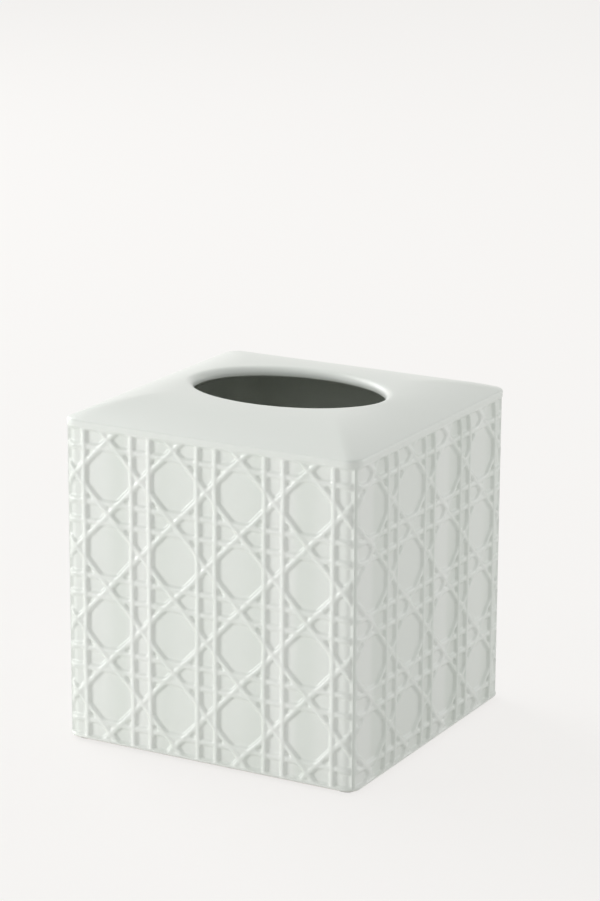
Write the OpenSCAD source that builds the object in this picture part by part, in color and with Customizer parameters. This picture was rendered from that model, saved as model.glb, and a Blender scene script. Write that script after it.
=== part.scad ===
// Tissue box cover: a square glazed porcelain cover with an open base, raised cane webbing on its
// four walls, a softly crowned cap with an oval mouth, and four clear bumpers under its foot rim.
// The origin is at the middle of the base, +Z is up and the front faces -Y. Sizes are in millimetres.

/* [Body] */
// Width of the body across the front, between the strands
body_w = 130; // [110:1:170]
// Depth of the body from front to back, between the strands
body_d = 130; // [110:1:170]
// Height of the side walls, from the foot rim to the edge of the cap
side_h = 134; // [110:1:170]
// Thickness of the side walls
wall_t = 5.5; // [4.5:0.1:7]
// Radius of the outer corners, seen from above
corner_r = 4.5; // [4:0.5:9]
// Radius of the inner corners, seen from above
inner_corner_r = 12; // [8:0.5:16]

/* [Cap] */
// Rise of the cap from its edge to its level crown
cap_rise = 6.5; // [4:0.5:10]
// Thickness of the cap
cap_t = 4; // [3.5:0.5:7]
// Run of the cap's slope at the front and at the back
front_slope = 36; // [28:1:42]
// Run of the cap's slope at the two ends
end_slope = 30; // [24:1:40]

/* [Mouth] */
// Length of the oval mouth
mouth_l = 83; // [76:1:96]
// Width of the oval mouth
mouth_w = 58; // [48:1:64]
// Radius of the rolled lip round the mouth
lip_r = 3; // [2:0.5:4.5]

/* [Cane webbing] */
// Number of eyes of the webbing, across a wall and up a wall
eyes = 4; // [2:1:6]
// Width of a strand
strand_w = 2.2; // [1.6:0.1:3]
// Height of a strand above the wall
strand_h = 1.4; // [0.8:0.1:2]
// Distance between the two strands of a pair
pair_gap = 8.2; // [6:0.2:10]
// Height of the smooth band under the lowest gaps
foot_band = 1.2; // [0.8:0.1:3]
// Height of the smooth band over the highest gaps
top_band = 3.8; // [2.2:0.1:6]
// Turn of the strand down a corner, from the end wall round to the front or the back
corner_turn = 32; // [20:1:45]

/* [Bumpers] */
// Diameter of a bumper
bumper_d = 8; // [5:0.5:9]
// Thickness of a bumper
bumper_t = 1.2; // [1:0.1:3]
// Depth of the dome between a bumper's side and its flat underside
bumper_dome = 0.4; // [0.2:0.1:0.8]
// Diameter of the flat underside that a bumper stands on
bumper_flat = 4.5; // [2:0.5:4.5]

/* [Hidden] */
$fn = 96;

// Overrun of every cut and of every join inside the porcelain
over = 0.5;
porcelain = "#e9ece6";
clear_rubber = "#d9dedf";

// Heights above the surface that the cover stands on
foot_z = bumper_t;
edge_z = foot_z + side_h;
crown_z = edge_z + cap_rise;

// The strands' crests stand this far out from the middle
crest_w = body_w + 2 * strand_h;
crest_d = body_d + 2 * strand_h;
crest_r = corner_r + strand_h;

// The strand down each corner lies on the corner's arc
corner_reach = crest_r - strand_w / 2;
corner_x = body_w / 2 - corner_r + corner_reach * cos(corner_turn);
corner_y = body_d / 2 - corner_r + corner_reach * sin(corner_turn);

// Half the width of the narrowest gap that glaze leaves open between strands
least_gap = 0.75;

// Rows of paired strands run from the foot band to the top band, with a strand along each band
first_row_z = foot_z + foot_band - strand_w / 2 + pair_gap / 2;
last_row_z = edge_z - top_band + strand_w / 2 - pair_gap / 2;
row_pitch = (last_row_z - first_row_z) / eyes;

// Front and back walls have a pair at both ends. An end wall has an eye at one end and a pair at the other.
front_first = -corner_x + pair_gap / 2;
front_pitch = (corner_x - pair_gap / 2 - front_first) / eyes;
end_first = -corner_y - pair_gap / 2;
end_pitch = (corner_y - pair_gap / 2 - end_first) / eyes;

// Facets round the oval mouth and up its rolled lip
mouth_sides = 60;
lip_steps = 5;

// A bumper sits midway between the inner and the outer corner, on the diagonal
inner_w = body_w - 2 * wall_t;
inner_d = body_d - 2 * wall_t;
outer_corner_x = body_w / 2 - corner_r + corner_r * cos(45);
inner_corner_x = inner_w / 2 - inner_corner_r + inner_corner_r * cos(45);
outer_corner_y = body_d / 2 - corner_r + corner_r * sin(45);
inner_corner_y = inner_d / 2 - inner_corner_r + inner_corner_r * sin(45);
bumper_x = (outer_corner_x + inner_corner_x) / 2;
bumper_y = (outer_corner_y + inner_corner_y) / 2;

// Outline with four round corners
module round_plan(w, d, r) {
    square([w - 2 * r, d], center = true);
    square([w, d - 2 * r], center = true);
    for (x = [-1, 1], y = [-1, 1])
        translate([x * (w / 2 - r), y * (d / 2 - r)])
            circle(r);
}

module round_block(w, d, r, low, high) {
    translate([0, 0, low])
        linear_extrude(high - low)
            round_plan(w, d, r);
}

// Side view of an arched cap: a level crown with an arc down to each edge
module arch_profile(w, run, edge, crown) {
    rise = crown - edge;
    arc_r = (run * run + rise * rise) / (2 * rise);
    translate([-w / 2, 0])
        square([w, edge]);
    translate([-w / 2 + run, 0])
        square([w - 2 * run, crown]);
    intersection() {
        translate([-w / 2, edge - over])
            square([w, rise + 2 * over]);
        for (side = [-1, 1])
            translate([side * (w / 2 - run), crown - arc_r])
                circle(arc_r, $fn = 4 * $fn);
    }
}

// Wall that runs across a block at an angle, with the cap's arch as its side view
module arched_wall(angle, w, length, run, edge, crown) {
    rotate([90, 0, angle])
        linear_extrude(length + 2 * over, center = true)
            arch_profile(w, run, edge, crown);
}

// Block with a round plan, under a cap that slopes down to its four sides and to its four corners
module capped_block(w, d, r, low, edge, crown) {
    across = 2 * r + (w + d - 4 * r) * cos(45);
    lost = (crest_w - w) / 2;
    intersection() {
        round_block(w, d, r, low, crown + over);
        arched_wall(0, w, d, end_slope - lost, edge, crown);
        arched_wall(90, d, w, front_slope - lost, edge, crown);
        arched_wall(45, across, across, end_slope - lost, edge, crown);
        arched_wall(-45, across, across, end_slope - lost, edge, crown);
    }
}

// Strands of one wall's webbing, laid flat: upright pairs, level pairs and single diagonals
module strands(reach, first, pitch) {
    slant = atan2(row_pitch, pitch);
    for (k = [0 : eyes], side = [-1, 1])
        translate([first + k * pitch + side * pair_gap / 2 - strand_w / 2, foot_z])
            square([strand_w, side_h]);
    for (j = [0 : eyes], side = [-1, 1])
        translate([-reach, first_row_z + j * row_pitch + side * pair_gap / 2 - strand_w / 2])
            square([2 * reach, strand_w]);
    for (n = [-eyes : 2 * eyes], lean = [-1, 1])
        translate([first + (n + 0.5) * pitch, first_row_z])
            rotate(lean * slant)
                square([4 * side_h, strand_w], center = true);
}

// Gaps between the strands of one wall, without those that glaze would fill
module gaps(reach, first, pitch) {
    offset(delta = least_gap)
        offset(delta = -least_gap)
            difference() {
                translate([-reach, foot_z + foot_band])
                    square([2 * reach, side_h - foot_band - top_band]);
                strands(reach, first, pitch);
            }
}

// The gaps of a wall that faces -Y, as deep as the strands are high
module wall_gaps(reach, face, first, pitch) {
    translate([0, -face / 2, 0])
        rotate([90, 0, 0])
            linear_extrude(strand_h + over)
                gaps(reach, first, pitch);
}

module all_gaps() {
    for (turn = [0, 180]) {
        rotate(turn)
            wall_gaps(corner_x, body_d, front_first, front_pitch);
        rotate(turn + 90)
            wall_gaps(corner_y, body_w, end_first, end_pitch);
    }
}

// One level ring of points round the mouth
function mouth_ring(grow, z) = [
    for (i = [0 : mouth_sides - 1])
        let (turn = 360 * i / mouth_sides)
            [(mouth_l / 2 + grow) * cos(turn), (mouth_w / 2 + grow) * sin(turn), z]
];

// Core that opens the mouth: an oval column that flares round the lip's quarter circle at its top
module mouth() {
    lip_z = crown_z - lip_r;
    lip_rings = [
        for (j = [0 : lip_steps])
            let (turn = 90 * j / lip_steps)
                mouth_ring(lip_r * (1 - cos(turn)), lip_z + lip_r * sin(turn))
    ];
    rings = concat([mouth_ring(0, edge_z - cap_t - over)], lip_rings, [mouth_ring(lip_r, crown_z + over)]);
    last = len(rings) - 1;
    polyhedron(
        points = [for (ring = rings) each ring],
        faces = [
            [for (i = [0 : mouth_sides - 1]) i],
            for (j = [0 : last - 1], i = [0 : mouth_sides - 1])
                let (next = (i + 1) % mouth_sides, low = j * mouth_sides, high = low + mouth_sides)
                    [low + i, high + i, high + next, low + next],
            [for (i = [mouth_sides - 1 : -1 : 0]) last * mouth_sides + i]
        ]
    );
}

module porcelain_body() {
    color(porcelain)
        difference() {
            capped_block(crest_w, crest_d, crest_r, foot_z, edge_z, crown_z);
            all_gaps();
            capped_block(inner_w, inner_d, inner_corner_r, foot_z - over, edge_z - cap_t, crown_z - cap_t);
            mouth();
        }
}

module bumper(x_side, y_side) {
    side_r = bumper_d / 2;
    flat_r = bumper_flat / 2;
    dome_z = (side_r * side_r - flat_r * flat_r + bumper_dome * bumper_dome) / (2 * bumper_dome);
    dome_r = sqrt(flat_r * flat_r + dome_z * dome_z);
    color(clear_rubber)
        translate([x_side * bumper_x, y_side * bumper_y, 0])
            intersection() {
                cylinder(h = bumper_t, r = side_r);
                translate([0, 0, dome_z])
                    sphere(dome_r);
            }
}

module bumper_front_left() {
    bumper(-1, -1);
}

module bumper_front_right() {
    bumper(1, -1);
}

module bumper_back_left() {
    bumper(-1, 1);
}

module bumper_back_right() {
    bumper(1, 1);
}

porcelain_body();
bumper_front_left();
bumper_front_right();
bumper_back_left();
bumper_back_right();
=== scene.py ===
# Tissue box cover in glazed white porcelain: raised cane webbing on four walls, a crowned cap with an
# oval mouth, and clear bumpers under the foot rim. Lengths are in metres, so a size in mm is times mm.
import math

import bmesh
import bpy
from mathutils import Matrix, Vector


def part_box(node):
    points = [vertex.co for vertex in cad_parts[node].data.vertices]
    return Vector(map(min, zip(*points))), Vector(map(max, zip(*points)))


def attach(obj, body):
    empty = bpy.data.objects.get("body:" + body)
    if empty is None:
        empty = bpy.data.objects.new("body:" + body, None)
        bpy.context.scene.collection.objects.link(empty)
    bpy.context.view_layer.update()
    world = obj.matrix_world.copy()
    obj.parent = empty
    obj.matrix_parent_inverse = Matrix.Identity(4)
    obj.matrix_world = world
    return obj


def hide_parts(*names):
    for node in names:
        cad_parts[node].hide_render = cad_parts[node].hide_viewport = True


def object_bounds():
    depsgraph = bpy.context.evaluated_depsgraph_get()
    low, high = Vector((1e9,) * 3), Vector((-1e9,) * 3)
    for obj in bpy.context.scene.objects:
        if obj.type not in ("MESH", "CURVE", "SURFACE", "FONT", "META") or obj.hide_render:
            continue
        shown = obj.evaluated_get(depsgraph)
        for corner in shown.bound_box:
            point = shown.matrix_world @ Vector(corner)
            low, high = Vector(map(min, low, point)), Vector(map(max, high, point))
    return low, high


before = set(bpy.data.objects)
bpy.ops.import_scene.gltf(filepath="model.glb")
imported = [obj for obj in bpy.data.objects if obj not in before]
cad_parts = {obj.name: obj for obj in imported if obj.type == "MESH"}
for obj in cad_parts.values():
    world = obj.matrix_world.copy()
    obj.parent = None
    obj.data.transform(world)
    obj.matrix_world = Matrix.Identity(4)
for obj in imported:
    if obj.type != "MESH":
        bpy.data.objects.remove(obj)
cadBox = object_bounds()
mm = 0.001
bodyLow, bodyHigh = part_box("porcelain_body")
print("frame loaded:", ", ".join(sorted(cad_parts)))

# The casting's sizes. The strands' crests reach the frame's box.
body = {
    "strandHeight": 1.4 * mm,
    "cornerRadius": 4.5 * mm,      # of the wall's surface, between the strands
    "wall": 5.5 * mm,
    "innerCorner": 12 * mm,
    "capRise": 6.5 * mm,
    "capThickness": 4 * mm,
    "frontSlope": 36 * mm,         # run of the cap's slope at the front and back
    "endSlope": 30 * mm,           # and at the two ends
    "mouthLength": 83 * mm,
    "mouthWidth": 58 * mm,
}
crest = body["strandHeight"]
reachX = bodyHigh.x - crest                          # middle of the cover to the wall's surface
reachY = bodyHigh.y - crest
footZ = bodyLow.z
crownZ = bodyHigh.z
edgeZ = crownZ - body["capRise"]
crestRadius = body["cornerRadius"] + crest

webbing = {
    "eyes": 4,
    "strandWidth": 2.2 * mm,
    "pairGap": 8.2 * mm,
    "footBand": 1.2 * mm,          # smooth band under the lowest gaps
    "topBand": 3.8 * mm,           # and over the highest ones
    "cornerTurn": math.radians(32),  # of the line down a corner, from the end wall round to the front
    "crestTurn": math.radians(40),   # of that strand's crest
    "cornerNarrowing": 0.25,       # share of its width that it has lost there
    "cornerRun": 3 * mm,           # over which it loses it
    "shifts": {                    # along and up, by which a wall's strands have strayed together
        "webbing_front": (0.0, 0.4 * mm),
        "webbing_right": (1.0 * mm, -0.7 * mm),
    },
    "uprightHeight": 1.2 * mm,     # uprights lie over the level strands and the slanted ones
    "levelHeight": 0.9 * mm,
    "slantHeight": 1.05 * mm,
    "strandReach": 1.22 * mm,      # half width at which a strand has lost two thirds of its height
    "roundness": 3.8,              # how square the strand's shoulders are
    "blend": 6.0,                  # how sharply crossing strands meet, where 1 would add them up
    "fillReach": 1.6 * mm,         # glaze bridges spaces narrower than about this
    "fillStart": 0.66,             # how crowded strands are where it begins to
    "fillSpan": 0.36,              # and how much more where it is done
    "fillHeight": 0.78 * mm,
    "wander": 0.32 * mm,           # how far a hand-modelled strand strays from its line
    "wanderRun": 26 * mm,
    "wanderGain": 4.0,             # makes up for noise that keeps close to its middle value
    "wanderDetail": 1.5,
    "calmRun": 6 * mm,             # from a wall's ends and edges, where straying eases in
    "edgeRun": 2.2 * mm,           # where the edge strands are as high as a crest can be
    "cornerJoin": 1.1 * mm,        # where slanted strands end at the corner
    "edgeJoin": 0.9 * mm,          # where the relief rises to meet the cap or the foot
    "seed": 4.0,
    "seedStep": 7.0,               # from one wall to the next
    "cell": 0.45 * mm,             # size of the mesh's faces on a wall
}
halfPair = (webbing["pairGap"] - webbing["strandWidth"]) / 2
firstRow = footZ + webbing["footBand"] + halfPair    # middles of the lowest and the highest level pair
lastRow = edgeZ - webbing["topBand"] - halfPair
lowLine = footZ + webbing["footBand"]                # the panels' ends: the foot and the top strand's crest
highLine = lastRow + webbing["pairGap"] / 2


class Wire:  # one output of a node, which takes arithmetic
    def __init__(self, graph, node, index=0):
        self.graph = graph
        self.node = node
        self.index = index

    @property
    def socket(self):
        return self.node.outputs[self.index]

    def out(self, index):
        return Wire(self.graph, self.node, index)

    def calc(self, operation, *others):
        values = dict(enumerate((self, *others)))
        return self.graph.add("ShaderNodeMath", {"operation": operation}, values)

    def __add__(self, other):
        return self.calc("ADD", other)

    def __sub__(self, other):
        return self.calc("SUBTRACT", other)

    def __mul__(self, other):
        return self.calc("MULTIPLY", other)

    def __truediv__(self, other):
        return self.calc("DIVIDE", other)

    def __pow__(self, other):
        return self.calc("POWER", other)

    def __abs__(self):
        return self.calc("ABSOLUTE")

    def __rsub__(self, other):
        return self.graph.add("ShaderNodeMath", {"operation": "SUBTRACT"}, {0: other, 1: self})

    def __rtruediv__(self, other):
        return self.graph.add("ShaderNodeMath", {"operation": "DIVIDE"}, {0: other, 1: self})

    __radd__ = __add__
    __rmul__ = __mul__

    def least(self, other):
        return self.calc("MINIMUM", other)

    def most(self, other):
        return self.calc("MAXIMUM", other)

    def between(self, low, high):
        return self.most(low).least(high)

    def nearest(self):
        return self.calc("ROUND")

    def ease(self):  # 0 to 1 with level ends
        t = self.between(0, 1)
        return t * t * (3 - 2 * t)


class Graph:  # a node tree that nodes are added to
    def __init__(self, tree):
        self.tree = tree

    def add(self, kind, settings=None, sockets=None, index=0):
        node = self.tree.nodes.new(kind)
        for name, value in (settings or {}).items():
            setattr(node, name, value)
        for name, value in (sockets or {}).items():
            if isinstance(value, Wire):
                self.tree.links.new(value.socket, node.inputs[name])
            else:
                node.inputs[name].default_value = value
        return Wire(self, node, index)


def srgb(red, green, blue):  # a colour as seen, 0 to 255, as the linear values that sockets take
    def linear(value):
        share = value / 255
        return share / 12.92 if share <= 0.04045 else ((share + 0.055) / 1.055) ** 2.4
    return (linear(red), linear(green), linear(blue), 1)


# Materials
def newMaterial(name):
    material = bpy.data.materials.new(name)
    material.use_nodes = True
    material.node_tree.nodes.clear()
    return material, Graph(material.node_tree)


def finishMaterial(graph, shader):
    graph.add("ShaderNodeOutputMaterial", None, {"Surface": shader})


def patches(graph, run, detail, roughness):  # soft noise, from 0 to 1, in patches about as wide as run
    place = graph.add("ShaderNodeTexCoord").out("Object")
    return graph.add("ShaderNodeTexNoise", None, {
        "Vector": place, "Scale": 1 / run, "Detail": detail, "Roughness": roughness})


def mixColours(graph, factor, first, second):
    return graph.add("ShaderNodeMix", {"data_type": "RGBA"}, {0: factor, 6: first, 7: second}, 2)


glaze = {
    "colour": srgb(236, 239, 234),
    "thin": srgb(240, 242, 238),       # where glaze runs thin over a crest
    "thinStart": 0.55,                 # share of a crest's height at which it begins to
    "thinSpan": 0.4,                   # and the further share at which it has
    "thinClouding": 0.4,               # how much that depends on the clouds
    "pooledWithShade": srgb(222, 227, 220),     # where glaze gathers at a strand's foot: darker there, partly real pooling and partly painted shade in the hollow
    "poolShadeAmount": 0.8,                 # of that darker colour there, pooling and painted shade
    "cloudAmount": 0.25,               # and in a cloud
    "roughness": 0.35,
    "cloudRoughness": 0.06,            # roughness from cloud to cloud
    "poolGloss": 0.03,                 # roughness that a pool lacks
    "coat": 0.1,
    "coatRoughness": 0.2,
    "clouds": (34 * mm, 3.0, 0.5),     # run, detail and roughness of the patches
    "peel": (2.6 * mm, 1.0, 0.4),      # a fired glaze's orange peel
    "peelShare": 0.6,                  # of the bump, the rest of which is clouds
    "bumpStrength": 0.05,
    "bumpDepth": 0.3 * mm,
    "ior": 1.5,
}


def glazedPorcelain():
    material, graph = newMaterial("glazed porcelain")
    relief = graph.add("ShaderNodeAttribute", {"attribute_name": "relief"}).out("Fac")
    pool = graph.add("ShaderNodeAttribute", {"attribute_name": "pool"}).out("Fac")
    cloud = patches(graph, *glaze["clouds"])
    peel = patches(graph, *glaze["peel"])
    # darker where strands crowd near their feet: glaze pooling and painted shade in the hollows, plus random
    # clouds
    pooledWithShade = (pool * glaze["poolShadeAmount"] + cloud * glaze["cloudAmount"]).between(0, 1)
    thin = ((relief - glaze["thinStart"]) / glaze["thinSpan"]).ease()
    thin = thin * (1 - glaze["thinClouding"] + cloud * glaze["thinClouding"])
    colour = mixColours(graph, pooledWithShade, glaze["colour"], glaze["pooledWithShade"])
    colour = mixColours(graph, thin, colour, glaze["thin"])
    roughness = glaze["roughness"] + (cloud - 0.5) * glaze["cloudRoughness"] - pooledWithShade * glaze["poolGloss"]
    bump = graph.add("ShaderNodeBump", None, {
        "Height": peel * glaze["peelShare"] + cloud * (1 - glaze["peelShare"]),
        "Strength": glaze["bumpStrength"], "Distance": glaze["bumpDepth"]})
    shader = graph.add("ShaderNodeBsdfPrincipled", None, {
        "Base Color": colour, "Roughness": roughness, "Normal": bump, "IOR": glaze["ior"],
        "Coat Weight": glaze["coat"], "Coat Roughness": glaze["coatRoughness"]})
    finishMaterial(graph, shader)
    return material


inside = {
    "colour": srgb(208, 212, 204),     # darker than the outer glaze: painted shade inside the cover, under a thin glaze
    "thick": srgb(218, 221, 214),      # and where it is thicker
    "clouds": (34 * mm, 4.0, 0.6),
    "roughness": 0.45,
    "cloudRoughness": 0.2,
}


def liningPorcelain():
    material, graph = newMaterial("thinly glazed lining with painted shade")
    cloud = patches(graph, *inside["clouds"])
    # the lining's grey tone is painted shade inside the cover; the clouds vary it at random
    colour = mixColours(graph, cloud, inside["colour"], inside["thick"])
    shader = graph.add("ShaderNodeBsdfPrincipled", None, {
        "Base Color": colour, "Roughness": inside["roughness"] + (cloud - 0.5) * inside["cloudRoughness"],
        "IOR": glaze["ior"]})
    finishMaterial(graph, shader)
    return material


footRim = {
    "dark": srgb(226, 222, 212),       # bare biscuit, wiped clean of glaze
    "pale": srgb(239, 236, 228),
    "grit": (0.7 * mm, 4.0, 0.7),
    "roughness": 0.8,
    "gritRoughness": 0.2,
    "bumpStrength": 0.3,
    "bumpDepth": 0.1 * mm,
}


def biscuitPorcelain():
    material, graph = newMaterial("wiped foot rim")
    grit = patches(graph, *footRim["grit"])
    colour = mixColours(graph, grit, footRim["dark"], footRim["pale"])
    bump = graph.add("ShaderNodeBump", None, {
        "Height": grit, "Strength": footRim["bumpStrength"], "Distance": footRim["bumpDepth"]})
    shader = graph.add("ShaderNodeBsdfPrincipled", None, {
        "Base Color": colour, "Roughness": footRim["roughness"] + (grit - 0.5) * footRim["gritRoughness"],
        "Normal": bump, "IOR": glaze["ior"]})
    finishMaterial(graph, shader)
    return material


clearRubber = {
    "colour": srgb(226, 230, 230),
    "hazy": srgb(238, 240, 239),
    "haze": (1.5 * mm, 2.0, 0.5),
    "roughness": 0.16,
    "hazeRoughness": 0.1,
    "ior": 1.49,
    "transmission": 0.3,
}


def clearPolyurethane():
    material, graph = newMaterial("clear polyurethane")
    haze = patches(graph, *clearRubber["haze"])
    colour = mixColours(graph, haze, clearRubber["colour"], clearRubber["hazy"])
    shader = graph.add("ShaderNodeBsdfPrincipled", None, {
        "Base Color": colour, "Roughness": clearRubber["roughness"] + haze * clearRubber["hazeRoughness"],
        "IOR": clearRubber["ior"], "Transmission Weight": clearRubber["transmission"]})
    finishMaterial(graph, shader)
    return material


glazed = glazedPorcelain()
lining = liningPorcelain()
biscuit = biscuitPorcelain()
rubber = clearPolyurethane()
print("materials made")


# Webbing of one wall: a grid that takes its relief from the distance to the nearest strand of each
# kind, and is then bent round half of the corner at each of its ends.
wallInputs = ("Flat Run", "Reach", "Corner Radius", "Corner Line", "Corner Arc", "Low Line", "High Line",
              "First Pair", "Pair Pitch", "First Row", "Row Pitch", "Last Pair", "Crest Height",
              "Shift Along", "Shift Up", "Seed", "Turn")
sharedKeys = ("pairGap", "uprightHeight", "levelHeight", "slantHeight", "strandReach", "cornerNarrowing",
              "cornerRun", "roundness", "blend", "fillReach", "fillStart", "fillSpan", "fillHeight",
              "wander", "wanderRun", "wanderGain", "calmRun", "edgeRun", "cornerJoin", "edgeJoin")


def spaced(key):  # an input's name: cornerRun becomes Corner Run
    return "".join(" " + letter if letter.isupper() else letter for letter in key).title()


def strandDistances(graph, size, along, height, calm):  # to the nearest strand of each kind
    spot = graph.add("ShaderNodeCombineXYZ", None, {
        0: along / size.out("Wander Run"), 1: height / size.out("Wander Run"), 2: size.out("Seed")})
    noise = graph.add("ShaderNodeTexNoise", {"noise_dimensions": "3D"}, {
        "Vector": spot, "Scale": 1.0, "Detail": webbing["wanderDetail"], "Roughness": 0.5})
    stray = graph.add("ShaderNodeSeparateXYZ", None, {0: noise.out("Color")})
    straying = calm * size.out("Wander") * size.out("Wander Gain")
    across = along / size.out("Corner Arc") * size.out("Corner Line") - calm * size.out("Shift Along")
    across = across + (stray.out("X") - 0.5) * straying
    up = height - calm * size.out("Shift Up") + (stray.out("Y") - 0.5) * straying
    slip = (stray.out("Z") - 0.5) * straying

    pitch, rowPitch, gap = size.out("Pair Pitch"), size.out("Row Pitch"), size.out("Pair Gap")
    column = (across - size.out("First Pair")) / pitch    # whole in the middle of each upright pair
    row = (up - size.out("First Row")) / rowPitch         # and of each level one
    last = size.out("Last Pair")
    toUpright = abs(abs((column - column.nearest().between(0, last)) * pitch) - gap / 2)
    toLevel = abs(abs((row - row.nearest().between(0, last)) * rowPitch) - gap / 2)
    slantScale = pitch * rowPitch / (pitch * pitch + rowPitch * rowPitch) ** 0.5
    rising = column - row - 0.5                           # whole along each slanted strand
    falling = column + row - 0.5
    toRising = abs((rising - rising.nearest()) * slantScale + slip)
    toFalling = abs((falling - falling.nearest()) * slantScale - slip)
    return toUpright, toLevel, toRising, toFalling


def strandRelief(size, distances, toCorner, toEdge):  # height over the wall, and how crowded strands are
    toUpright, toLevel, toRising, toFalling = distances
    crestTop = size.out("Crest Height")
    blend = size.out("Blend")

    def strand(distance, top, wide=1.0):  # round shoulders and a soft foot
        fall = (distance / (size.out("Strand Reach") * wide)) ** size.out("Roundness")
        return top * (fall * -1).calc("EXPONENT")

    def near(distance, reach):  # 1 there, fading over about the reach
        return ((distance / reach) ** 2 * -1).calc("EXPONENT")

    def meet(*tops):  # a soft maximum
        total = tops[0] ** blend
        for top in tops[1:]:
            total = total + top ** blend
        return total ** (1 / blend)

    atEdge = near(toEdge, size.out("Edge Run"))
    levelTop = size.out("Level Height") + (crestTop - size.out("Level Height")) * atEdge
    narrowed = 1 - size.out("Corner Narrowing") * (1 - toCorner / size.out("Corner Run")).ease()
    upright = strand(toUpright, size.out("Upright Height"), narrowed)
    level = strand(toLevel, levelTop)
    rise = strand(toRising, size.out("Slant Height"))
    drop = strand(toFalling, size.out("Slant Height"))
    reach = size.out("Fill Reach")
    crowd = near(toUpright, reach) + near(toLevel, reach) + near(toRising, reach) + near(toFalling, reach)
    fill = ((crowd - size.out("Fill Start")) / size.out("Fill Span")).ease() * size.out("Fill Height")

    relief = meet(upright, level, rise, drop, fill).least(crestTop)
    cornerRelief = meet(upright, level).least(crestTop)
    atCorner = (1 - toCorner / size.out("Corner Join")).ease()
    relief = relief + (cornerRelief - relief) * atCorner
    atSeam = (1 - toEdge / size.out("Edge Join")).ease()
    return relief + (crestTop - relief) * atSeam, crowd


def webbingTree():
    tree = bpy.data.node_groups.new("caneWebbing", "GeometryNodeTree")
    tree.interface.new_socket("Geometry", in_out="INPUT", socket_type="NodeSocketGeometry")
    for name in (*wallInputs, *map(spaced, sharedKeys)):
        tree.interface.new_socket(name, in_out="INPUT", socket_type="NodeSocketFloat")
    for name in ("Columns", "Rows"):
        tree.interface.new_socket(name, in_out="INPUT", socket_type="NodeSocketInt")
    tree.interface.new_socket("Finish", in_out="INPUT", socket_type="NodeSocketMaterial")
    tree.interface.new_socket("Geometry", in_out="OUTPUT", socket_type="NodeSocketGeometry")

    graph = Graph(tree)
    size = graph.add("NodeGroupInput")
    grid = graph.add("GeometryNodeMeshGrid", None, {
        "Size X": 1.0, "Size Y": 1.0, "Vertices X": size.out("Columns"), "Vertices Y": size.out("Rows")})
    share = graph.add("ShaderNodeSeparateXYZ", None, {0: graph.add("GeometryNodeInputPosition")})
    radius = size.out("Corner Radius")
    flatRun = size.out("Flat Run")
    length = flatRun + radius * (math.pi / 2)
    along = share.out("X") * length                   # way along the wall, round both half corners
    low, high = size.out("Low Line"), size.out("High Line")
    height = low + (share.out("Y") + 0.5) * (high - low)
    toCorner = length / 2 - abs(along)
    toEdge = (height - low).least(high - height)
    calm = (toCorner.least(toEdge) / size.out("Calm Run")).ease()    # still where it meets its neighbours
    distances = strandDistances(graph, size, along, height, calm)
    relief, crowd = strandRelief(size, distances, toCorner, toEdge)
    crestShare = relief / size.out("Crest Height")

    bent = along.between(flatRun / -2, flatRun / 2)
    angle = (along - bent) / radius
    out = radius + relief
    place = graph.add("ShaderNodeCombineXYZ", None, {
        0: bent + out * angle.calc("SINE"),
        1: radius - size.out("Reach") - out * angle.calc("COSINE"),
        2: height})
    moved = graph.add("GeometryNodeSetPosition", None, {"Geometry": grid, "Position": place})
    stored = graph.add("GeometryNodeStoreNamedAttribute", {"data_type": "FLOAT", "domain": "POINT"}, {
        "Geometry": moved, "Name": "relief", "Value": crestShare})
    # pool: crowded strands near their feet, where the glaze is darkened as pooling and as painted shade
    stored = graph.add("GeometryNodeStoreNamedAttribute", {"data_type": "FLOAT", "domain": "POINT"}, {
        "Geometry": stored, "Name": "pool", "Value": (crowd.between(0, 1) * (1 - crestShare)).between(0, 1)})
    axis = graph.add("ShaderNodeCombineXYZ", None, {2: size.out("Turn")})
    turned = graph.add("GeometryNodeTransform", None, {"Geometry": stored, "Rotation": axis})
    real = graph.add("GeometryNodeRealizeInstances", None, {"Geometry": turned})
    dressed = graph.add("GeometryNodeSetMaterial", None, {"Geometry": real, "Material": size.out("Finish")})
    graph.add("NodeGroupOutput", None, {0: dressed})
    return tree


def runTree(name, tree, values):  # the tree's result as a plain mesh object
    holder = bpy.data.objects.new(name + "Maker", bpy.data.meshes.new(name + "Maker"))
    bpy.context.scene.collection.objects.link(holder)
    modifier = holder.modifiers.new(tree.name, "NODES")
    modifier.node_group = tree
    for item in tree.interface.items_tree:
        if item.in_out == "INPUT" and item.name in values:
            modifier[item.identifier] = values[item.name]
    shapes = bpy.context.evaluated_depsgraph_get()
    mesh = bpy.data.meshes.new_from_object(holder.evaluated_get(shapes))
    mesh.name = name
    bpy.data.objects.remove(holder)
    piece = bpy.data.objects.new(name, mesh)
    bpy.context.scene.collection.objects.link(piece)
    return piece


seat = {
    "depth": 3.5 * mm,      # a webbing panel's back, behind the wall's surface
    "overlap": 0.4 * mm,    # how far the panels reach into the body behind them
    "weld": 0.001 * mm,     # points of a back's rim that are closer than this become one
}


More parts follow.
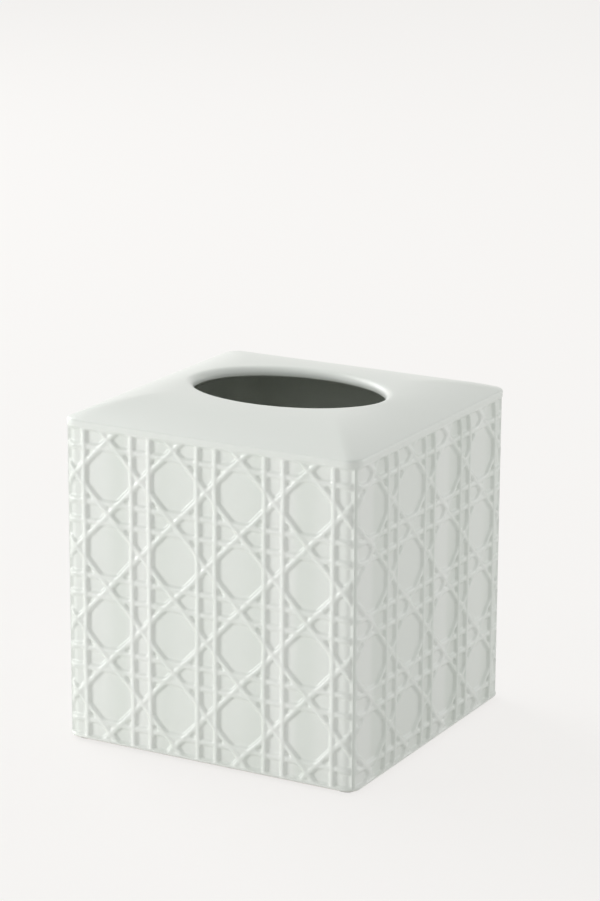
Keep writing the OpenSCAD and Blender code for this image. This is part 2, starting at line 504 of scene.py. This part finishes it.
def closePanel(piece, turn, reachSide, reachFace):  # gives a panel its mitred ends and its flat back
    mesh = bmesh.new()
    mesh.from_mesh(piece.data)
    sideX, backY = reachSide - seat["depth"], reachFace - seat["depth"]
    cosine, sine = math.cos(turn), math.sin(turn)
    rim = [edge for edge in mesh.edges if edge.is_boundary]
    backPoints = {}
    for point in dict.fromkeys(point for edge in rim for point in edge.verts):    # each once, in order
        x = point.co.x * cosine + point.co.y * sine              # along the wall
        x = max(-sideX, min(sideX, x))
        place = (x * cosine + backY * sine, x * sine - backY * cosine, point.co.z)
        backPoints[point] = mesh.verts.new(place, point)
    sides = []
    for edge in rim:  # one by one, because extruding them mixes up their order from run to run
        loop = edge.link_loops[0]
        first, second = loop.link_loop_next.vert, loop.vert      # to face out, as its neighbour does
        corners = (first, second, backPoints[second], backPoints[first])
        sides.append(mesh.faces.new(corners, loop.face))
        edge.smooth = False
        mesh.edges.get(corners[2:]).smooth = False
    bmesh.ops.remove_doubles(mesh, verts=list(backPoints.values()), dist=seat["weld"])
    hole = [edge for edge in mesh.edges if edge.is_boundary]
    filled = bmesh.ops.holes_fill(mesh, edges=hole, sides=0)["faces"]
    bmesh.ops.recalc_face_normals(mesh, faces=mesh.faces)
    mesh.to_mesh(piece.data)
    mesh.free()
    print("panel", piece.name, "closed:", len(sides), "side faces,", len(filled), "back")


def makeWebbing():
    tree = webbingTree()
    gap = webbing["pairGap"]
    eyes = webbing["eyes"]
    cornerReach = crestRadius - webbing["strandWidth"] / 2
    rowPitch = (lastRow - firstRow) / eyes
    walls = (  # name, way it faces, half length, distance from the middle, whether it starts with an eye
        ("webbing_front", 0, reachX, reachY, False),
        ("webbing_right", math.pi / 2, reachY, reachX, True),
        ("webbing_back", math.pi, reachX, reachY, False),
        ("webbing_left", -math.pi / 2, reachY, reachX, True),
    )
    panels = []
    for number, (name, turn, half, reach, eyeFirst) in enumerate(walls):
        strandTurn = webbing["cornerTurn"] if eyeFirst else math.pi / 2 - webbing["cornerTurn"]
        cornerLine = half - body["cornerRadius"] + cornerReach * math.sin(strandTurn)
        crestTurn = webbing["crestTurn"] if eyeFirst else math.pi / 2 - webbing["crestTurn"]
        cornerArc = half - body["cornerRadius"] + body["cornerRadius"] * crestTurn
        shiftAlong, shiftUp = webbing["shifts"].get(name, (0.0, 0.0))
        first = -cornerLine - gap / 2 if eyeFirst else -cornerLine + gap / 2
        pitch = (cornerLine - gap / 2 - first) / eyes
        flatRun = 2 * (half - body["cornerRadius"])
        length = flatRun + body["cornerRadius"] * math.pi / 2
        values = {spaced(key): webbing[key] for key in sharedKeys}
        values |= {
            "Flat Run": flatRun, "Reach": reach, "Corner Radius": body["cornerRadius"],
            "Corner Line": cornerLine, "Corner Arc": cornerArc, "Low Line": lowLine, "High Line": highLine,
            "First Pair": first, "Pair Pitch": pitch, "First Row": firstRow, "Row Pitch": rowPitch,
            "Last Pair": float(eyes), "Crest Height": crest, "Shift Along": shiftAlong, "Shift Up": shiftUp,
            "Seed": webbing["seed"] + number * webbing["seedStep"], "Turn": turn,
            "Columns": round(length / webbing["cell"]) + 1,
            "Rows": round((highLine - lowLine) / webbing["cell"]) + 1, "Finish": glazed}
        panel = runTree(name, tree, values)
        panel.data.shade_smooth()
        closePanel(panel, turn, half, reach)
        panels.append(panel)
    return panels


panels = makeWebbing()
print("webbing made:", len(panels), "walls")


# Cap, lip, lining and foot: one closed surface of rings, from the cap's edge over the lip, down the
# inside, round the foot and up again behind the webbing.
cap = {
    "edgeRadius": 1.1 * mm,
    "edgeTurn": math.radians(70),   # how far the edge rolls before the slope begins
    "fallPower": 2,                 # how a slope steepens towards its edge
    "hipPower": 4,                  # how sharply two slopes meet over a corner
    "lipRun": 3.2 * mm,             # the lip's soft roll, outside the mouth
    "lipDrop": 2.6 * mm,            # and down into it
    "lipLevel": 0.6,                # share of the cap's fall that the lip makes up at the ends
    "lipStart": 0.3,                # share of the way to the lip at which it begins to
    "edgeSteps": 8,
    "slopeSteps": 30,
    "lipSteps": 14,
    "cornerColumns": 18,            # of the points round each corner
    "sideColumns": 46,              # and along each side
}
inner = {
    "undersideRadius": 0.9 * mm,
    "ceilingRadius": 5 * mm,
    "footFillet": 1.2 * mm,
    "hiddenCorner": 2 * mm,         # behind the webbing
    "glazedRings": 2,               # under the mouth, and outside the foot, that keep the outer glaze
    "undersideSteps": 6,
    "ceilingSteps": 12,
    "bendSteps": 6,
    "wallSteps": 10,
    "footSteps": 5,
}


def planColumns():  # (corner's number, share of its turn, share of the side after it) round the plan
    columns = []
    for corner in range(4):
        for i in range(cap["cornerColumns"]):
            columns.append((corner, i / cap["cornerColumns"], 0))
        for i in range(cap["sideColumns"]):
            columns.append((corner, 1, i / cap["sideColumns"]))
    return columns


columns = planColumns()
signs = ((1, -1), (1, 1), (-1, 1), (-1, -1))


def planPoint(column, halfX, halfY, radius):
    corner, turn, side = column
    signX, signY = signs[corner]
    angle = (corner - 1) * math.pi / 2 + turn * math.pi / 2
    x = signX * (halfX - radius) + radius * math.cos(angle)
    y = signY * (halfY - radius) + radius * math.sin(angle)
    nextX, nextY = signs[(corner + 1) % 4]
    endX = nextX * (halfX - radius) + radius * math.cos(angle)
    endY = nextY * (halfY - radius) + radius * math.sin(angle)
    return x + (endX - x) * side, y + (endY - y) * side


def planRing(halfX, halfY, radius, z):
    return [(*planPoint(column, halfX, halfY, radius), z) for column in columns]


def outerRing(inward, z):  # round the strands' crests, or as far inside them
    return planRing(bodyHigh.x - inward, bodyHigh.y - inward, crestRadius - inward, z)


def innerRing(outward, z):  # round the lining, or as far outside it
    corner = body["innerCorner"] + outward
    return planRing(reachX - body["wall"] + outward, reachY - body["wall"] + outward, corner, z)


def mouthPoint(column, grow):
    x, y = planPoint(column, bodyHigh.x, bodyHigh.y, crestRadius)
    angle = math.atan2(y / bodyHigh.y, x / bodyHigh.x)
    return ((body["mouthLength"] / 2 + grow) * math.cos(angle),
            (body["mouthWidth"] / 2 + grow) * math.sin(angle))


def mouthRing(grow, heights, fall):  # round the mouth, lower than the heights by the fall
    return [(*mouthPoint(column, grow), z - fall) for column, z in zip(columns, heights)]


def turns(end, steps, first=0):  # equal steps of a turn
    return [end * i / steps for i in range(first, steps + 1)]


def capFall(x, y):  # share of the cap's rise that is lost at a place
    fallX = (max(0, abs(x) - bodyHigh.x + body["endSlope"]) / body["endSlope"]) ** cap["fallPower"]
    fallY = (max(0, abs(y) - bodyHigh.y + body["frontSlope"]) / body["frontSlope"]) ** cap["fallPower"]
    return (fallX ** cap["hipPower"] + fallY ** cap["hipPower"]) ** (1 / cap["hipPower"])


def smooth(share):
    share = max(0, min(1, share))
    return share * share * (3 - 2 * share)


def capRings():
    radius = cap["edgeRadius"]
    rollZ = edgeZ - radius * math.sin(cap["edgeTurn"])
    rings = [outerRing(0, highLine)]
    for turn in turns(cap["edgeTurn"], cap["edgeSteps"]):  # the edge, rolled over from the smooth band
        rings.append(outerRing(radius * (1 - math.cos(turn)), rollZ + radius * math.sin(turn)))
    edge = rings[-1]
    lips = [mouthPoint(column, cap["lipRun"]) for column in columns]

    def surface(x, y, edgePoint):  # height of the cap, exactly the edge's height at the edge
        return crownZ - (crownZ - edgeZ) * capFall(x, y) / capFall(edgePoint[0], edgePoint[1])

    lifts = [(crownZ - surface(x, y, start)) * cap["lipLevel"] for (x, y), start in zip(lips, edge)]
    for i in range(1, cap["slopeSteps"] + 1):  # the slope and the crown
        share = i / cap["slopeSteps"]
        raised = smooth((share - cap["lipStart"]) / (1 - cap["lipStart"]))
        ring = []
        for (lipX, lipY), start, lift in zip(lips, edge, lifts):
            x = start[0] + (lipX - start[0]) * share
            y = start[1] + (lipY - start[1]) * share
            ring.append((x, y, surface(x, y, start) + lift * raised))
        rings.append(ring)
    lipHeights = [point[2] for point in rings[-1]]
    for turn in turns(math.pi / 2, cap["lipSteps"], 1):  # the lip's roll into the mouth
        grow = cap["lipRun"] * (1 - math.sin(turn))
        rings.append(mouthRing(grow, lipHeights, cap["lipDrop"] * (1 - math.cos(turn))))
    return rings, lipHeights


def liningRings(lipHeights):
    rings = []
    radius = inner["undersideRadius"]
    under = body["capThickness"]
    for turn in turns(math.pi / 2, inner["undersideSteps"]):  # round the mouth's lower edge
        grow = radius * (1 - math.cos(turn))
        rings.append(mouthRing(grow, lipHeights, under - radius * (1 - math.sin(turn))))
    inlet = rings[-1]
    fillet = inner["ceilingRadius"]
    wallTop = edgeZ - under - fillet
    outlet = innerRing(-fillet, wallTop + fillet)
    for i in range(1, inner["ceilingSteps"] + 1):  # the ceiling
        share = i / inner["ceilingSteps"]
        rings.append([(start[0] + (end[0] - start[0]) * share, start[1] + (end[1] - start[1]) * share,
                       start[2] + (end[2] - start[2]) * smooth(share)) for start, end in zip(inlet, outlet)])
    for turn in turns(math.pi / 2, inner["bendSteps"], 1):  # down into the walls
        rings.append(innerRing(-fillet * (1 - math.sin(turn)), wallTop + fillet * math.cos(turn)))
    bottom = footZ + inner["footFillet"]
    for i in range(1, inner["wallSteps"] + 1):  # the lining's walls
        rings.append(innerRing(0, wallTop + (bottom - wallTop) * i / inner["wallSteps"]))
    return rings


def footRings():
    fillet = inner["footFillet"]
    rings = []
    for turn in turns(math.pi / 2, inner["footSteps"], 1):  # inner edge of the foot
        rings.append(innerRing(fillet * (1 - math.cos(turn)), footZ + fillet * (1 - math.sin(turn))))
    for turn in turns(math.pi / 2, inner["footSteps"]):  # outer edge, up to the lowest strand's crest
        rings.append(outerRing(fillet * (1 - math.sin(turn)), footZ + fillet * (1 - math.cos(turn))))
    return rings


def hiddenRings():  # behind the webbing
    behind = seat["depth"] - seat["overlap"]
    return [planRing(reachX - behind, reachY - behind, inner["hiddenCorner"], z)
            for z in (lowLine, highLine)]


def makeBody():
    capPart, lipHeights = capRings()
    liningPart = liningRings(lipHeights)
    footPart = footRings()
    rings = capPart + liningPart + footPart + hiddenRings()
    finishes = [glazed, lining, biscuit]
    liningStart = len(capPart) + inner["glazedRings"]
    footStart = len(capPart) + len(liningPart) - 1
    footEnd = footStart + len(footPart) - inner["glazedRings"]
    mesh = bmesh.new()
    grid = [[mesh.verts.new(point) for point in ring] for ring in rings]
    count = len(columns)
    for i in range(len(grid)):
        low, high = grid[i], grid[(i + 1) % len(grid)]
        for j in range(count):
            after = (j + 1) % count
            face = mesh.faces.new((low[j], low[after], high[after], high[j]))
            face.smooth = True
            if liningStart <= i < footStart:
                face.material_index = finishes.index(lining)
            elif footStart <= i < footEnd:
                face.material_index = finishes.index(biscuit)
    for ring in (grid[0], grid[-3], grid[-2], grid[-1]):  # the edges that the webbing hides
        for j in range(count):
            mesh.edges.get((ring[j], ring[(j + 1) % count])).smooth = False
    bmesh.ops.recalc_face_normals(mesh, faces=mesh.faces)
    data = bpy.data.meshes.new("porcelain_cap_and_lining")
    mesh.to_mesh(data)
    mesh.free()
    for material in finishes:
        data.materials.append(material)
    piece = bpy.data.objects.new("porcelain_cap_and_lining", data)
    bpy.context.scene.collection.objects.link(piece)
    return piece


porcelain = makeBody()
print("body made:", len(porcelain.data.polygons), "faces")


# Bumpers: soft clear buttons, each a little domed and flat underneath
bumper = {
    "flatShare": 0.56,      # of the radius, which is flat underneath
    "ringShares": (0.5, 0.8, 1),     # of the flat's own radius, where it has its rings
    "domeHeight": 0.4 * mm,
    "domeSteps": 6,
    "domeFullness": 0.8,    # below 1, the dome swells outwards
    "topFillet": 0.15 * mm,
    "filletShare": 0.3,     # of the fillet, from the sharp edge to the middle ring
    "columns": 48,
}


def makeBumper(node):
    low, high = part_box(node)
    middleX, middleY = (low.x + high.x) / 2, (low.y + high.y) / 2
    radius = (high.x - low.x) / 2
    flat = radius * bumper["flatShare"]
    dome = bumper["domeHeight"]
    profile = [(flat * share, low.z) for share in bumper["ringShares"]]
    for turn in turns(math.pi / 2, bumper["domeSteps"], 1):
        profile.append((flat + (radius - flat) * math.sin(turn) ** bumper["domeFullness"],
                        low.z + dome * (1 - math.cos(turn))))
    fillet = bumper["topFillet"]
    middle = fillet * bumper["filletShare"]
    profile += [(radius, high.z - fillet), (radius - middle, high.z - middle), (radius - fillet, high.z)]
    mesh = bmesh.new()
    count = bumper["columns"]
    grid = [[mesh.verts.new((middleX + r * math.cos(2 * math.pi * j / count),
                             middleY + r * math.sin(2 * math.pi * j / count), z))
             for j in range(count)] for r, z in profile]
    for lower, upper in zip(grid, grid[1:]):
        for j in range(count):
            after = (j + 1) % count
            mesh.faces.new((lower[j], lower[after], upper[after], upper[j])).smooth = True
    mesh.faces.new(list(reversed(grid[0])))
    mesh.faces.new(grid[-1])
    bmesh.ops.recalc_face_normals(mesh, faces=mesh.faces)
    data = bpy.data.meshes.new(node + "_moulded")
    mesh.to_mesh(data)
    mesh.free()
    data.materials.append(rubber)
    piece = bpy.data.objects.new(node + "_moulded", data)
    bpy.context.scene.collection.objects.link(piece)
    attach(piece, "root")
    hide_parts(node)
    return piece


bumpers = [makeBumper(node) for node in sorted(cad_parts) if node.startswith("bumper")]
print("bumpers made:", len(bumpers))

for piece in (porcelain, *panels):
    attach(piece, "root")
    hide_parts("porcelain_body")


# Studio: a pale floor and surround, a low key lamp at the front left, a broad one high on the left,
# and a weak one low behind the right
studio = {
    "backdrop": srgb(246, 244, 242),
    "floor": srgb(251, 249, 247),       # of the floor's unshaded share
    "mattFloor": srgb(240, 239, 238),   # and of its shaded one
    "floorSize": 6.0,
    "shadowShare": 0.2,    # how much of the floor's own shading the camera sees
    "dimRun": 4 * mm,      # from the lining outwards, where that share eases in
    "surround": 0.57,
    "surroundColour": (0.985, 1.0, 0.99, 1),
    "key": ((-1.0, -0.78, 0.05), 0.5, 10.4),     # place, width, power in watts
    "top": ((-1.8, 0.5, 1.2), 1.4, 23.0),
    "fill": ((1.3, 1.3, 0.35), 0.6, 4.5),
    "leftShare": 0.1,     # of the key's power on the left wall, which faces it and would wash out
}


def seenRays(graph):  # 1 on a ray from the camera, also by way of glass or gloss
    path = graph.add("ShaderNodeLightPath")
    return path.out("Is Camera Ray").most(path.out("Is Transmission Ray")).most(path.out("Is Glossy Ray"))


def makeWorld():
    world = bpy.data.worlds.new("studio")
    bpy.context.scene.world = world
    world.use_nodes = True
    world.node_tree.nodes.clear()
    graph = Graph(world.node_tree)
    surround = graph.add("ShaderNodeBackground", None, {
        "Color": studio["surroundColour"], "Strength": studio["surround"]})
    backdrop = graph.add("ShaderNodeBackground", None, {"Color": studio["backdrop"], "Strength": 1.0})
    both = graph.add("ShaderNodeMixShader", None, {0: seenRays(graph), 1: surround, 2: backdrop})
    graph.add("ShaderNodeOutputWorld", None, {"Surface": both})


def makeFloor():
    bpy.ops.mesh.primitive_plane_add(size=studio["floorSize"], location=(0, 0, cadBox[0].z))
    floor = bpy.context.object
    floor.name = "floor"
    material, graph = newMaterial("pale floor")
    matt = graph.add("ShaderNodeBsdfDiffuse", None, {"Color": studio["mattFloor"]})
    plain = graph.add("ShaderNodeEmission", None, {"Color": studio["floor"], "Strength": 1.0})
    place = graph.add("ShaderNodeSeparateXYZ", None, {0: graph.add("ShaderNodeTexCoord").out("Object")})
    outside = (abs(place.out("X")).most(abs(place.out("Y"))) - reachX + body["wall"]) / studio["dimRun"]
    plainShare = seenRays(graph) * (1 - studio["shadowShare"]) * outside.ease()
    finishMaterial(graph, graph.add("ShaderNodeMixShader", None, {0: plainShare, 1: matt, 2: plain}))
    floor.data.materials.append(material)
    return floor


def makeLamp(name, place, width, power, pieces=None):  # with pieces, it lights nothing else
    light = bpy.data.lights.new(name, "AREA")
    light.shape = "SQUARE"
    light.size = width
    light.energy = power
    lamp = bpy.data.objects.new(name, light)
    lamp.location = place
    aim = lamp.location.copy()
    aim.z -= crownZ / 2
    lamp.rotation_euler = aim.to_track_quat("Z", "Y").to_euler()
    bpy.context.scene.collection.objects.link(lamp)
    if pieces:
        lit = bpy.data.collections.new(name)
        for piece in pieces:
            lit.objects.link(piece)
        lamp.light_linking.receiver_collection = lit


view = {
    "place": (0.5849, -1.0533, 0.4454),
    "angles": (74.659, -0.278, 28.901),    # degrees
    "lens": 184.47,
    "sensor": 36.0,
}


def makeCamera():
    camera = bpy.data.cameras.new("camera")
    camera.sensor_fit = "HORIZONTAL"
    camera.sensor_width = view["sensor"]
    camera.lens = view["lens"]
    eye = bpy.data.objects.new("camera", camera)
    eye.location = view["place"]
    eye.rotation_euler = [math.radians(angle) for angle in view["angles"]]
    bpy.context.scene.collection.objects.link(eye)
    bpy.context.scene.camera = eye


makeWorld()
floor = makeFloor()
leftWall = [panel for panel in panels if panel.name == "webbing_left"]
others = [piece for piece in (floor, porcelain, *bumpers, *panels) if piece not in leftWall]
keyPlace, keyWidth, keyPower = studio["key"]
makeLamp("key", keyPlace, keyWidth, keyPower, others)
makeLamp("left key", keyPlace, keyWidth, keyPower * studio["leftShare"], leftWall)
makeLamp("top", *studio["top"])
makeLamp("fill", *studio["fill"])
makeCamera()
bpy.context.scene.view_settings.view_transform = "Standard"
print("studio set")
